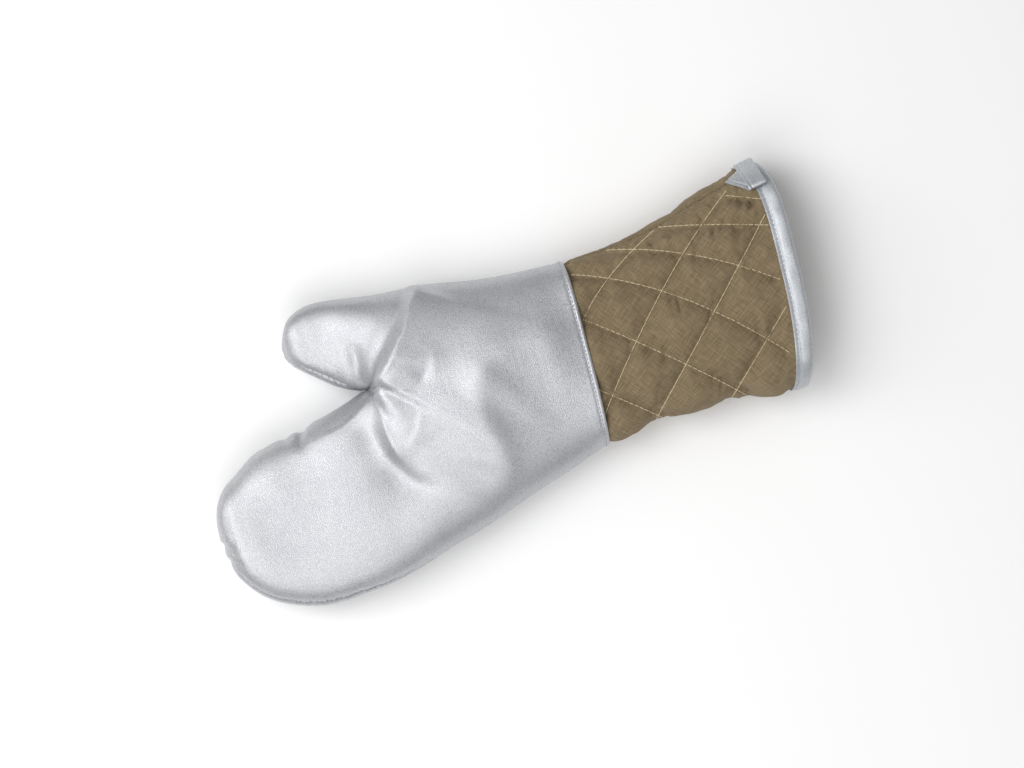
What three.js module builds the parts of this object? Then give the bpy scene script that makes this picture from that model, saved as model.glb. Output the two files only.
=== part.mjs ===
// An oven glove lying on its back: a silver coated mitt with a thumb, a quilted cuff,
// a tape binding round the cuff's opening and a folded hanging loop in the side seam.
// Millimetres. +X runs out of the cuff, square to the wrist hem, +Y to the thumb, +Z up
// from the surface that the glove lies on. The origin is under the middle of its box.
//
// The glove is two padded panels, front and back, sewn together round the outline. Each
// section across it is a closed curve with its widest points at the height "edge".
// Angles round a section start at the little finger's side: 90 degrees is the crown,
// 180 the thumb's side, and below 0 the underside.
import * as THREE from "three";

// Cloth and clearances
const handWall = 4.8; // coated cloth, padding and lining
const coverWall = 1.5; // the coated cloth alone, where its hem laps over the cuff
const cuffSink = 1.0; // the cuff's face lies this far under the coated cloth's
const tongueSink = 1.8; // and this far where the hem covers it
const tapeWall = 1.0;
const gap = 0.3; // between pieces that touch

// Places along the glove, at its side seams
const hemStart = 43;
const hemEnd = 56;
const openingX = 188; // the fold of the binding
const bindingWidth = 10;

// How full the sections are: 2 is an ellipse, and more is squarer
const topFullness = 2.3;
const underFullness = 3.2;
const underPress = 2.5; // how much of each section the surface below has pressed flat
const rimSkew = 0.32; // the rim bows out most on the thumb's half
const underBow = 0.4; // share of the bow that the underside has

// Cells across a panel, on the fingers' part and on the thumb's part
const fingerCells = 12;
const thumbCells = 7;
const cells = fingerCells + thumbCells;
const curveSamples = 96;

// Sections of the fingers, from the tip to the fork. little and thumb are the widest
// points, crown and under the highest and lowest, and the seams are angles in degrees
// above the widest point.
const fingerRows = [
  { x: -205, little: -47, thumb: -47, crown: 17, edge: 17, under: 17, littleSeam: 30, thumbSeam: -12 },
  { x: -202, little: -64, thumb: -27, crown: 27, edge: 17, under: 8, littleSeam: 30, thumbSeam: -12 },
  { x: -195, little: -77, thumb: -14, crown: 34, edge: 17, under: 2, littleSeam: 26, thumbSeam: -12 },
  { x: -184, little: -89, thumb: -6, crown: 39, edge: 17, under: 0, littleSeam: 22, thumbSeam: -12 },
  { x: -168, little: -98, thumb: 4, crown: 42, edge: 17, under: 0, littleSeam: 20, thumbSeam: -12 },
  { x: -146, little: -103.5, thumb: 10, crown: 44, edge: 17, under: 0, littleSeam: 18, thumbSeam: -12 },
  { x: -122, little: -102.5, thumb: 15, crown: 45, edge: 17, under: 0, littleSeam: 15, thumbSeam: -12 },
  { x: -104, little: -100.5, thumb: 20, crown: 45.5, edge: 17, under: 0, littleSeam: 12, thumbSeam: -10 },
];

// Sections of the thumb, from its tip to the fork
const thumbRows = [
  { x: -134.5, little: 62, thumb: 62, crown: 16, edge: 16, under: 16, littleSeam: 34, thumbSeam: -12 },
  { x: -131.5, little: 54.5, thumb: 72, crown: 24, edge: 16, under: 8, littleSeam: 34, thumbSeam: -12 },
  { x: -126, little: 48.5, thumb: 82, crown: 29, edge: 16, under: 2, littleSeam: 36, thumbSeam: -12 },
  { x: -116, little: 40, thumb: 87.5, crown: 33, edge: 16, under: 0, littleSeam: 36, thumbSeam: -12 },
  { x: -104, little: 31, thumb: 88.5, crown: 36, edge: 16.5, under: 0, littleSeam: 30, thumbSeam: -12 },
];

// Sections of the palm, wrist and cuff, from the fork to the opening. split is where the
// valley from the fork divides the panel, and bow how far the crown runs ahead of the seams.
const bodyRows = [
  { x: -88, little: -97, split: 25, thumb: 86.5, crown: 48, edge: 17, bow: 0, littleSeam: 8, thumbSeam: -12 },
  { x: -62, little: -89, split: 26, thumb: 83, crown: 50, edge: 17.5, bow: 0, littleSeam: 2, thumbSeam: -12 },
  { x: -36, little: -81, split: 25, thumb: 82, crown: 50, edge: 18, bow: 0, littleSeam: -6, thumbSeam: -12 },
  { x: 0, little: -68.5, split: 22.5, thumb: 76, crown: 48.5, edge: 18, bow: 0, littleSeam: -10, thumbSeam: -12 },
  { x: 30, little: -58.5, split: 24, thumb: 73.5, crown: 47, edge: 18, bow: 1, littleSeam: -12, thumbSeam: -10 },
  { x: 56, little: -50, split: 27.5, thumb: 73.5, crown: 47, edge: 18.5, bow: 2.5, littleSeam: -12, thumbSeam: 4 },
  { x: 84, little: -45.5, split: 31, thumb: 76.3, crown: 48.5, edge: 19.5, bow: 4.5, littleSeam: -12, thumbSeam: 12 },
  { x: 112, little: -43.5, split: 34.5, thumb: 80.8, crown: 51.5, edge: 20.5, bow: 7, littleSeam: -12, thumbSeam: 14 },
  { x: 140, little: -43.5, split: 40, thumb: 90, crown: 55, edge: 21.5, bow: 9.5, littleSeam: -12, thumbSeam: 18 },
  { x: 166, little: -46.5, split: 44.5, thumb: 99.5, crown: 58.5, edge: 22.5, bow: 12, littleSeam: -12, thumbSeam: 22 },
  { x: 190, little: -46.5, split: 48, thumb: 105, crown: 61, edge: 23, bow: 13.5, littleSeam: -12, thumbSeam: 22 },
].map((row) => ({ under: row.x > hemEnd ? gap : 0, ...row }));
const forkX = bodyRows[0].x;
const forkReach = 11; // how fast the valley at the fork runs out
const forkCrowns = { fingers: -2, thumb: -9 }; // crowns of the two parts there, from the palm's

// Folds of the front, each a ridge or, with a height below 0, a crease along a curve
// through three points. left and right are its reach to each side, seen along it.
const folds = [
  { name: "thumb ridge", from: [-79, 27], via: [-56, 49], to: [-39, 80], height: 4.5, left: 4, right: 13 },
  { name: "thumb crease", from: [-80, 31], via: [-64, 53], to: [-46, 76], height: -4.5, left: 5, right: 5 },
  { name: "thumb shoulder", from: [-85, 31], via: [-69, 53], to: [-48, 78], height: 3.5, left: 12, right: 4 },
  { name: "palm ridge", from: [-85, 23], via: [-79, 4], to: [-76, -21], height: 4, left: 6, right: 5 },
  { name: "palm dimple", from: [-80, 20], via: [-73, 0], to: [-74, -22], height: -4.5, left: 4, right: 8 },
  { name: "palm crease", from: [-79, 25], via: [-64, 21], to: [-48, 21], height: -4, left: 8, right: 5 },
  { name: "palm hollow", from: [-97, -3], via: [-86, -38], to: [-54, -57], height: -4.5, left: 14, right: 12 },
  { name: "heel ridge", from: [-8, -12], via: [-14, -38], to: [-52, -60], height: 3.5, left: 8, right: 14 },
];

// Quilting seen from above, each line through three points, and how the wadding rises between
const quiltLines = [
  [[59.5, 32], [85.5, 56.7], [123, 78.5]],
  [[55.5, -33.5], [114, 38], [172.5, 90.5]],
  [[87.5, -43.5], [142.5, 15.5], [193, 70.5]],
  [[138.5, -42.5], [164.5, -16.8], [190, 8.8]],
  [[169, 86.5], [181, 82], [193, 77]],
  [[122, 78], [157, 70.3], [193, 59.8]],
  [[85, 72.5], [138, 55.2], [191, 23.2]],
  [[59.5, 63], [121.5, 32.2], [184, -23.6]],
  [[60.5, 32.5], [106, -3.5], [151, -43]],
  [[57, -13], [75.5, -27.5], [94, -42]],
];
const quiltDepth = 2.0;
const quiltReach = 7;

// The tape of the hanging loop in the plan, from the glove's side over the binding, round its
// fold and back into the side seam. turn is the direction of its width in degrees, and lift
// the height of its middle above the glove's outer face.
const loopRows = [
  { x: 186.1, y: 103.6, turn: 2, lift: 1.2 },
  { x: 186.4, y: 102.4, turn: 2, lift: 1.2 },
  { x: 187, y: 100, turn: 3, lift: 1.5 },
  { x: 188, y: 96.5, turn: 4, lift: 2.4 },
  { x: 189.1, y: 92.5, turn: 6, lift: 3.4 },
  { x: 190.3, y: 88.8, turn: 7, lift: 4.4 },
  { x: 191.1, y: 86.4, turn: 8, lift: 4.6 },
  { x: 191.3, y: 85.6, turn: 9, lift: 4.1 },
  { x: 191.2, y: 85.5, turn: 11, lift: 3.2 },
  { x: 190.3, y: 86.4, turn: 16, lift: 2.4 },
  { x: 188.3, y: 88.8, turn: 28, lift: 1.7 },
  { x: 184.8, y: 91.6, turn: 40, lift: 1.4 },
  { x: 180.8, y: 94, turn: 46, lift: 1.3 },
  { x: 176.8, y: 96.3, turn: 46, lift: 1.3 },
];
const loopWidth = 12.5;
const loopWall = 1.0;

// Colours
const silver = { color: 0xb9bcc1, roughness: 0.45, metalness: 0.35 };
const khaki = { color: 0x8d7c60, roughness: 0.95, metalness: 0 };

// Smooth curve through four values
function blendFour(a, b, c, d, t) {
  const slopeB = (c - a) / 2;
  const slopeC = (d - b) / 2;
  return (
    b * (2 * t ** 3 - 3 * t ** 2 + 1) +
    c * (3 * t ** 2 - 2 * t ** 3) +
    slopeB * (t ** 3 - 2 * t ** 2 + t) +
    slopeC * (t ** 3 - t ** 2)
  );
}

// The row beyond a rounded tip is the next row's mirror image, which closes the tip smoothly
function mirrored(tip, next) {
  return {
    ...next,
    little: next.thumb,
    thumb: next.little,
    crown: 2 * tip.edge - next.crown,
    under: 2 * tip.edge - next.under,
  };
}

// The row at a place k along a track, where k counts its rows
function rowAt(track, k) {
  const { rows, before } = track;
  const last = rows.length - 1;
  const i = Math.min(Math.max(Math.floor(k), 0), last - 1);
  const a = i > 0 ? rows[i - 1] : before;
  const b = rows[i];
  const c = rows[i + 1];
  const made = {};
  for (const key of Object.keys(b)) {
    const after = i + 2 <= last ? rows[i + 2][key] : 2 * c[key] - b[key];
    made[key] = blendFour(a[key] ?? b[key], b[key], c[key], after, k - i);
  }
  return made;
}

const fingerTrack = {
  rows: [
    ...fingerRows,
    ...bodyRows.map((row) => ({ ...row, thumb: row.split, crown: row.crown + forkCrowns.fingers, thumbSeam: 0 })),
  ].map((row) => ({ bow: 0, ...row })),
  before: mirrored(fingerRows[0], fingerRows[1]),
};
const thumbTrack = {
  rows: [
    ...thumbRows,
    ...bodyRows.map((row) => ({ ...row, little: row.split, crown: row.crown + forkCrowns.thumb, littleSeam: 0 })),
  ].map((row) => ({ bow: 0, ...row })),
  before: mirrored(thumbRows[0], thumbRows[1]),
};
const bodyTrack = {
  rows: bodyRows,
  before: { ...fingerRows.at(-1), thumb: thumbRows.at(-1).thumb },
};

// The place on the body track whose seams lie at x
function placeAt(x) {
  let low = 0;
  let high = bodyRows.length - 1;
  for (let step = 0; step < 40; step++) {
    const middle = (low + high) / 2;
    if (rowAt(bodyTrack, middle).x < x) low = middle;
    else high = middle;
  }
  return (low + high) / 2;
}

// A point of a section at an angle in radians
function sectionPoint(row, angle) {
  const sine = Math.sin(angle);
  const cosine = Math.cos(angle);
  const power = 2 / (sine > 0 ? topFullness : underFullness);
  const up = Math.abs(sine) ** power;
  const across = -Math.sign(cosine) * Math.abs(cosine) ** power;
  const bow = row.bow * Math.abs(sine) * (sine > 0 ? 1 - rimSkew * cosine : underBow);
  const top = row.edge + (row.crown - row.edge) * up;
  const bottom = Math.max(row.under, 0, row.edge - (row.edge - row.under + underPress) * up);
  return new THREE.Vector3(
    row.x + bow,
    (row.little + row.thumb) / 2 + ((row.thumb - row.little) / 2) * across,
    sine > 0 ? top : bottom,
  );
}

// Points evenly spaced along a run of points
function evenly(points, count) {
  const lengths = [0];
  for (let i = 1; i < points.length; i++) lengths.push(lengths[i - 1] + points[i].distanceTo(points[i - 1]));
  const total = lengths.at(-1);
  const made = [];
  let i = 0;
  for (let n = 0; n <= count; n++) {
    const wanted = (total * n) / count;
    while (i < points.length - 2 && lengths[i + 1] < wanted) i++;
    const span = lengths[i + 1] - lengths[i];
    made.push(points[i].clone().lerp(points[i + 1], span > 0 ? (wanted - lengths[i]) / span : 0));
  }
  return made;
}

// One panel's curve across a lobe, from its seam on the little finger's side to the other
function lobeCurve(row, side, count) {
  const radians = Math.PI / 180;
  const start = row.littleSeam * radians;
  const end = side === "front" ? Math.PI - row.thumbSeam * radians : -Math.PI - row.thumbSeam * radians;
  const points = [];
  for (let i = 0; i <= curveSamples; i++) points.push(sectionPoint(row, start + ((end - start) * i) / curveSamples));
  return count ? evenly(points, count) : points;
}

// The curve across the palm or cuff: one wide lobe, which divides in two towards the fork
function bodyCurve(k, side) {
  const row = rowAt(bodyTrack, k);
  const wide = lobeCurve(row, side);
  const cut = wide.findIndex((point, i) => i > 0 && point.y >= row.split);
  const whole = [
    ...evenly(wide.slice(0, cut + 1), fingerCells),
    ...evenly(wide.slice(cut), thumbCells).slice(1),
  ];
  const parted = [
    ...lobeCurve(rowAt(fingerTrack, fingerRows.length + k), side, fingerCells),
    ...lobeCurve(rowAt(thumbTrack, thumbRows.length + k), side, thumbCells).slice(1),
  ];
  const merged = 1 - Math.exp(-Math.max(row.x - forkX, 0) / forkReach);
  return parted.map((point, i) => point.lerp(whole[i], merged));
}

// A curve in the plan through three points, as a run of points
function planCurve([from, via, to], steps) {
  const at = (i, t) => {
    const control = 2 * via[i] - (from[i] + to[i]) / 2;
    return (1 - t) ** 2 * from[i] + 2 * t * (1 - t) * control + t ** 2 * to[i];
  };
  return Array.from({ length: steps + 1 }, (_, n) => [at(0, n / steps), at(1, n / steps)]);
}

// The nearest place on a plan curve: its distance, below 0 on the left, and how far along it is
function nearest(curve, x, y) {
  let best = { distance: Infinity, along: 0 };
  for (let i = 0; i < curve.length - 1; i++) {
    const [ax, ay] = curve[i];
    const dx = curve[i + 1][0] - ax;
    const dy = curve[i + 1][1] - ay;
    const t = Math.min(Math.max(((x - ax) * dx + (y - ay) * dy) / (dx * dx + dy * dy), 0), 1);
    const away = Math.hypot(x - ax - t * dx, y - ay - t * dy);
    const side = dx * (y - ay) - dy * (x - ax) > 0 ? -1 : 1;
    if (away < Math.abs(best.distance)) best = { distance: side * away, along: (i + t) / (curve.length - 1) };
  }
  return best;
}

const foldCurves = folds.map((fold) => ({ ...fold, curve: planCurve([fold.from, fold.via, fold.to], 10) }));
const quiltCurves = quiltLines.map((line) => planCurve(line, 12));

// How far the folds move the cloth outwards at a place in the plan
function foldLift(x, y) {
  let lift = 0;
  for (const { curve, height, left, right } of foldCurves) {
    const { distance, along } = nearest(curve, x, y);
    const reach = distance < 0 ? left : right;
    const taper = Math.sin(Math.PI * (0.15 + 0.7 * along));
    lift += height * taper * Math.exp(-((distance / reach) ** 2));
  }
  return lift;
}

// How deep the quilting draws the cuff's face in
function quiltSink(x, y) {
  const near = Math.min(...quiltCurves.map((curve) => Math.abs(nearest(curve, x, y).distance)));
  return quiltDepth * Math.exp(-((near / quiltReach) ** 2));
}

// The glove's outer face as one net of points, with front and back sewn at shared seam points
const net = { points: [], front: [], back: [] };

function addPoint(point) {
  net.points.push(point);
  return net.points.length - 1;
}

function addSection(front, back) {
  const frontIds = front.map(addPoint);
  const inner = back.slice(1, -1).map(addPoint);
  return { front: frontIds, back: [frontIds[0], ...inner, frontIds.at(-1)] };
}

// Cells between two sections, or to a tip. The front's faces look up and the back's down.
function addStrip(a, b, station) {
  for (const side of ["front", "back"]) {
    for (let j = 0; j < a[side].length - 1; j++) {
      const around = [a[side][j], b[side][j], b[side][j + 1], a[side][j + 1]];
      const corners = around.filter((id, n) => id !== around[(n + 3) % 4]);
      net[side].push({ corners: side === "front" ? corners : corners.reverse(), station });
    }
  }
}

function part(section, from, to) {
  return { front: section.front.slice(from, to + 1), back: section.back.slice(from, to + 1) };
}

// Places of the body's sections, closer together near the fork
function spread(from, to, count, ease = 1) {
  return Array.from({ length: count }, (_, i) => from + (to - from) * (i / count) ** ease);
}
const bindingX = openingX - bindingWidth;
const cuffEnd = openingX - tapeWall - 2 * gap;
const stations = [
  ...spread(forkX, hemStart, 17, 1.2),
  hemStart,
  hemStart + gap,
  hemStart + 2 * gap,
  (hemStart + hemEnd) / 2,
  hemEnd,
  hemEnd + gap,
  ...spread(hemEnd + gap, bindingX - gap, 18).slice(1),
  bindingX - gap,
  bindingX,
  (bindingX + openingX) / 2,
  cuffEnd,
  openingX - tapeWall,
  openingX - gap,
  openingX,
];
const bodySections = stations.map((x) => {
  const k = placeAt(x);
  return addSection(bodyCurve(k, "front"), bodyCurve(k, "back"));
});
bodySections[0].back[fingerCells] = bodySections[0].front[fingerCells];
for (let i = 1; i < bodySections.length; i++) addStrip(bodySections[i - 1], bodySections[i], stations[i]);

// The two parts left of the fork, each from the fork to its rounded tip
function addFinger(track, rowCount, cellCount, stepsPerRow, forkPart) {
  let last = forkPart;
  for (let row = rowCount; row > 0; row--) {
    const steps = stepsPerRow(row);
    for (let step = 1; step <= steps; step++) {
      const k = row - step / steps;
      const here = rowAt(track, k);
      const tip = k === 0;
      const made = tip
        ? ((id) => ({ front: Array(cellCount + 1).fill(id), back: Array(cellCount + 1).fill(id) }))(
            addPoint(new THREE.Vector3(here.x, here.little, here.edge)),
          )
        : addSection(lobeCurve(here, "front", cellCount), lobeCurve(here, "back", cellCount));
      addStrip(made, last, here.x);
      last = made;
    }
  }
}
addFinger(fingerTrack, fingerRows.length, fingerCells, (row) => (row > 5 ? 3 : 2), part(bodySections[0], 0, fingerCells));
addFinger(thumbTrack, thumbRows.length, thumbCells, (row) => (row > 4 ? 3 : 2), part(bodySections[0], fingerCells, cells));

// Outward direction at each point of the net, from the faces round it
function outwards() {
  const made = net.points.map(() => new THREE.Vector3());
  for (const { corners } of [...net.front, ...net.back]) {
    for (let n = 1; n < corners.length - 1; n++) {
      const three = [corners[0], corners[n], corners[n + 1]];
      const [a, b, c] = three.map((id) => net.points[id]);
      const face = new THREE.Vector3().crossVectors(b.clone().sub(a), c.clone().sub(a));
      three.forEach((id) => made[id].add(face));
    }
  }
  return made.map((normal) => normal.normalize());
}

// The folds move the front, and fade out round its sides to the underside
const beforeFolds = outwards();
net.points.forEach((point, id) => {
  if (point.x > hemEnd) return;
  const fade = THREE.MathUtils.smoothstep(point.z, 6, 24);
  point.addScaledVector(beforeFolds[id], fade * foldLift(point.x, point.y));
});
const normals = outwards();

// A closed solid from named points and faces, each face a list of three or four points
function solid(points, faces) {
  const index = [];
  for (const face of faces) for (let n = 1; n < face.length - 1; n++) index.push(face[0], face[n], face[n + 1]);
  const geometry = new THREE.BufferGeometry();
  geometry.setAttribute("position", new THREE.Float32BufferAttribute(points.flatMap((p) => [p.x, p.y, p.z]), 3));
  geometry.setIndex(index);
  geometry.computeVertexNormals();
  return geometry;
}

// The station that each body point was made at, for depths that step along the glove
const stationOf = new Map();
bodySections.forEach((section, i) => {
  for (const id of [...section.front, ...section.back]) stationOf.set(id, stations[i]);
});

// A padded panel: the net's faces between two stations, with the outer and inner faces
// sunk below the net by depths that may change from place to place, and a rim round it.
// Its edges stand back from the seam by half a gap.
function panel(side, fromX, toX, outerDepth, innerDepth) {
  const faces = net[side].filter(({ station }) => station > fromX && station <= toX);
  const used = new Map();
  const pull = new Map();
  const edges = new Map();
  for (const { corners } of faces) {
    const centre = corners.reduce((sum, id) => sum.add(net.points[id]), new THREE.Vector3());
    centre.divideScalar(corners.length);
    corners.forEach((id, n) => {
      if (!used.has(id)) used.set(id, used.size);
      pull.set(id, (pull.get(id) ?? new THREE.Vector3()).add(centre.clone().sub(net.points[id]).normalize()));
      const next = corners[(n + 1) % corners.length];
      if (!edges.delete(next + "," + id)) edges.set(id + "," + next, [id, next]);
    });
  }
  const rim = new Set([...edges.values()].flat());
  const outer = [];
  const inner = [];
  for (const id of used.keys()) {
    const place = net.points[id].clone();
    if (rim.has(id)) place.addScaledVector(pull.get(id).normalize(), gap * 0.6);
    outer.push(place.clone().addScaledVector(normals[id], -outerDepth(place, stationOf.get(id))));
    inner.push(place.clone().addScaledVector(normals[id], -innerDepth(place, stationOf.get(id))));
  }
  const shift = used.size;
  const outerFaces = faces.map(({ corners }) => corners.map((id) => used.get(id)));
  const innerFaces = outerFaces.map(([first, ...others]) => [first, ...others.reverse()].map((n) => n + shift));
  const rimFaces = [...edges.values()].map(([a, b]) => {
    const [from, to] = [used.get(a), used.get(b)];
    return a < b ? [from, from + shift, to + shift, to] : [to, from, from + shift, to + shift];
  });
  return solid([...outer, ...inner], [...outerFaces, ...innerFaces, ...rimFaces]);
}

function handPanel(side) {
  const inner = (place, station) => (station > hemStart ? coverWall : handWall);
  return panel(side, -Infinity, hemEnd, () => 0, inner);
}

function cuffPanel(side) {
  const start = hemStart + 2 * gap;
  const outer = (place, station) => {
    if (station <= hemEnd) return tongueSink;
    return cuffSink + (side === "front" ? quiltSink(place.x, place.y) : 0);
  };
  return panel(side, start + gap / 2, cuffEnd, outer, () => handWall + quiltDepth / 2);
}

// The binding: tape folded round the rim of the cuff, as one ring. Its outline is given by
// stations along the net and depths under it, outer face first.
function bindingRing() {
  const middle = (bindingX + openingX) / 2;
  const inside = cuffSink + handWall;
  const outline = [
    [bindingX, -gap],
    [middle, -gap],
    [cuffEnd, -gap],
    [openingX - gap, 0.6],
    [openingX, inside / 2],
    [openingX - gap, inside + 0.7],
    [cuffEnd, inside + gap + tapeWall],
    [middle, inside + gap + tapeWall],
    [bindingX, inside + gap + tapeWall],
    [bindingX, inside + gap],
    [middle, inside + gap],
    [openingX - tapeWall, inside + gap],
    [openingX - tapeWall, cuffSink - gap],
    [middle, cuffSink - gap],
    [bindingX, cuffSink - gap],
  ];
  const rings = outline.map(([x, depth]) => {
    const { front, back } = bodySections[stations.indexOf(x)];
    const around = [...front, ...back.slice(1, -1).reverse()];
    return around.map((id) => net.points[id].clone().addScaledVector(normals[id], -depth));
  });
  const columns = rings[0].length;
  const faces = [];
  for (let i = 0; i < rings.length; i++) {
    const after = (i + 1) % rings.length;
    for (let j = 0; j < columns; j++) {
      const next = (j + 1) % columns;
      const face = [i * columns + j, after * columns + j, after * columns + next, i * columns + next];
      if (outline[after][0] < outline[i][0]) face.push(face.shift());
      faces.push(face);
    }
  }
  return solid(rings.flat(), faces);
}

// The place on the cuff's front over a point of the plan, and the outward direction there
function onCuff(x, y) {
  let station = Math.min(x, openingX);
  let angle = 0;
  for (let step = 0; step < 12; step++) {
    const row = rowAt(bodyTrack, placeAt(station));
    const across = (2 * y - row.little - row.thumb) / (row.thumb - row.little);
    angle = Math.acos(-Math.sign(across) * Math.min(Math.abs(across), 1) ** (topFullness / 2));
    station = Math.min(station + x - sectionPoint(row, angle).x, openingX);
  }
  const at = (offX, offAngle) => sectionPoint(rowAt(bodyTrack, placeAt(station + offX)), angle + offAngle);
  const along = at(0, 0).sub(at(-1, 0));
  const round = at(0, 0.02).sub(at(0, -0.02));
  return { place: at(0, 0).setX(x), outward: along.cross(round).normalize() };
}

// The hanging loop: a strip of tape along the rows, with its faces and edges closed
function loopStrip() {
  const centres = [];
  const widths = [];
  for (const { x, y, turn, lift } of loopRows) {
    const { place, outward } = onCuff(x, y);
    const across = new THREE.Vector3(Math.cos((turn * Math.PI) / 180), Math.sin((turn * Math.PI) / 180), 0);
    centres.push(place.addScaledVector(outward, lift));
    widths.push(across.projectOnPlane(outward).normalize());
  }
  const points = [];
  centres.forEach((centre, i) => {
    const along = centres[Math.min(i + 1, centres.length - 1)].clone().sub(centres[Math.max(i - 1, 0)]);
    const up = new THREE.Vector3().crossVectors(along, widths[i]).normalize();
    for (const [side, rise] of [[-1, 1], [1, 1], [1, -1], [-1, -1]]) {
      const corner = centre.clone().addScaledVector(widths[i], (side * loopWidth) / 2);
      points.push(corner.addScaledVector(up, (rise * loopWall) / 2));
    }
  });
  const last = points.length - 4;
  const faces = [[0, 1, 2, 3], [last + 3, last + 2, last + 1, last]];
  for (let i = 0; i < last; i += 4) {
    for (let j = 0; j < 4; j++) faces.push([i + j, i + 4 + j, i + 4 + ((j + 1) % 4), i + ((j + 1) % 4)]);
  }
  return solid(points, faces);
}

const glove = new THREE.Group();

function add(name, geometry, finish) {
  const mesh = new THREE.Mesh(geometry, new THREE.MeshStandardMaterial(finish));
  mesh.name = name;
  glove.add(mesh);
}

add("hand_front_panel", handPanel("front"), silver);
add("hand_back_panel", handPanel("back"), silver);
add("cuff_front_panel", cuffPanel("front"), khaki);
add("cuff_back_panel", cuffPanel("back"), khaki);
add("cuff_binding", bindingRing(), silver);
add("hanging_loop", loopStrip(), silver);

// The middle of the glove's box goes over the origin, and its lowest point on the surface
const box = new THREE.Box3().setFromObject(glove, true);
const middle = box.getCenter(new THREE.Vector3());
glove.position.set(-middle.x, -middle.y, -box.min.z);
glove.updateMatrixWorld(true);

export default glove;
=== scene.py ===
import math

import bpy
import numpy as np
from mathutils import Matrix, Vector
from mathutils.bvhtree import BVHTree


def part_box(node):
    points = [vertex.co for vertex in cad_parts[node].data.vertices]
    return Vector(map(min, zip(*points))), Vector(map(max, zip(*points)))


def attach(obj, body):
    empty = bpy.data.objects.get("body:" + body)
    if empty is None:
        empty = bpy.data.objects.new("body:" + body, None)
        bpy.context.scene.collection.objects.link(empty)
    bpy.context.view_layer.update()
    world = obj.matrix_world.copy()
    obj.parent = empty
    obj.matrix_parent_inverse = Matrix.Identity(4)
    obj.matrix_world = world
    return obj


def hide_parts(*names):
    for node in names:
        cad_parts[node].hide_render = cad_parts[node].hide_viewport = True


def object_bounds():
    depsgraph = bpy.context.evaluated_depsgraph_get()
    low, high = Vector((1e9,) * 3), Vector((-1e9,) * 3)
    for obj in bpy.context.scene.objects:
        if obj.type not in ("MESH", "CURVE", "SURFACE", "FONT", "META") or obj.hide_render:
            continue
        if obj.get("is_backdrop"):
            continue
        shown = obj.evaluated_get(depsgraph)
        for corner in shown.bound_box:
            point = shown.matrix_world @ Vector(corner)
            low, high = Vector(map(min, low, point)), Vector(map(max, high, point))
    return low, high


# A padded oven glove lying on its back. Its cloth is worked out in millimetres from
# tables of sections, and turned to metres when a mesh is made.
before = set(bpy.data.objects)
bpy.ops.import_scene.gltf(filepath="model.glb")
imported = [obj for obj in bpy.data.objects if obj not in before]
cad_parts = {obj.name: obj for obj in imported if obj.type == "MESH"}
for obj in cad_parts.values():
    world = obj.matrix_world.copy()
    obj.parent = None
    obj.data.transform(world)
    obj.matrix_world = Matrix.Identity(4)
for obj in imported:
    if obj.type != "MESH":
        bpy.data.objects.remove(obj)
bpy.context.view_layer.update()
metre = 0.001
bothSides = ("front", "back")


def rowsOf(columns, *rows):
    names = columns.split()
    return {name: np.array([row[i] for row in rows], float) for i, name in enumerate(names)}


# Sections of the fingers and of the thumb, from the tip to the fork, and of the body from
# the fork to the rim. The seams are angles above the section's widest point.
fingers = rowsOf(
    "x little thumb crown edge under littleSeam thumbSeam",
    (-205, -47, -47, 17, 17, 17, 30, -12),
    (-202, -64, -27, 37.5, 17, 8, 30, -12),
    (-195, -77, -14, 43, 17, 2, 26, -12),
    (-184, -89, -6, 44, 17, 0, 22, -12),
    (-168, -98, 4, 44, 17, 0, 20, -12),
    (-146, -103.5, 10, 44, 17, 0, 18, -12),
    (-122, -102.5, 15, 45, 17, 0, 15, -12),
    (-104, -100.5, 20, 45.5, 17, 0, 12, -10),
)
thumb = rowsOf(
    "x little thumb crown edge under littleSeam thumbSeam",
    (-134.5, 62, 62, 16, 16, 16, 34, -12),
    (-131.5, 54.5, 72, 29, 16, 8, 34, -12),
    (-126, 48.5, 82, 34, 16, 2, 36, -12),
    (-116, 40, 87.5, 35, 16, 0, 36, -12),
    (-104, 31, 88.5, 36, 16.5, 0, 30, -12),
)
body = rowsOf(
    "x little split thumb crown edge bow under littleSeam thumbSeam",
    (-88, -97, 25, 86.5, 48, 17, 0, 0, 8, -12),
    (-62, -89, 26, 83, 50, 17.5, 0, 0, 2, -12),
    (-36, -81, 25, 82, 50, 18, 0, 0, -6, -12),
    (0, -68.5, 22.5, 76, 48.5, 18, 0, 0, -10, -12),
    (30, -58.5, 24, 73.5, 47, 18, 1, 0, -12, -10),
    (56, -50, 27.5, 73.5, 47, 18.5, 2.5, 0, -12, 4),
    (84, -45.5, 31, 76.3, 48.5, 19.5, 4.5, 0.3, -12, 12),
    (112, -43.5, 34.5, 80.8, 51.5, 20.5, 7, 0.3, -12, 14),
    (140, -43.5, 40, 90, 55, 21.5, 9.5, 0.3, -12, 18),
    (166, -46.5, 44.5, 99.5, 58.5, 22.5, 12, 0.3, -12, 22),
    (190, -46.5, 48, 105, 61, 23, 13.5, 0.3, -12, 22),
)
shape = {
    "topFullness": 2.8, "tipFullness": 1.0, "underFullness": 3.2, "underPress": 2.5, "rimSkew": 0.32,
    "underBow": 0.4, "forkReach": 3.5, "forkSpread": 34, "forkSharp": 2.0, "fingerCrown": -2, "thumbCrown": -9,
    "fullTips": (50, 120), "hemStart": 43, "hemEnd": 56, "bindingStart": 178, "rim": 188,
}
netSteps = {
    "lobeSamples": 360, "handRows": 108, "hemStep": 0.8, "hemGap": 0.35, "cuffStep": 1.05, "bindingStep": 0.7,
    "tipStep": 1.25, "tipRowsAtEnd": 14, "tipRowsLeast": 8, "forkRun": 16,
}
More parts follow.
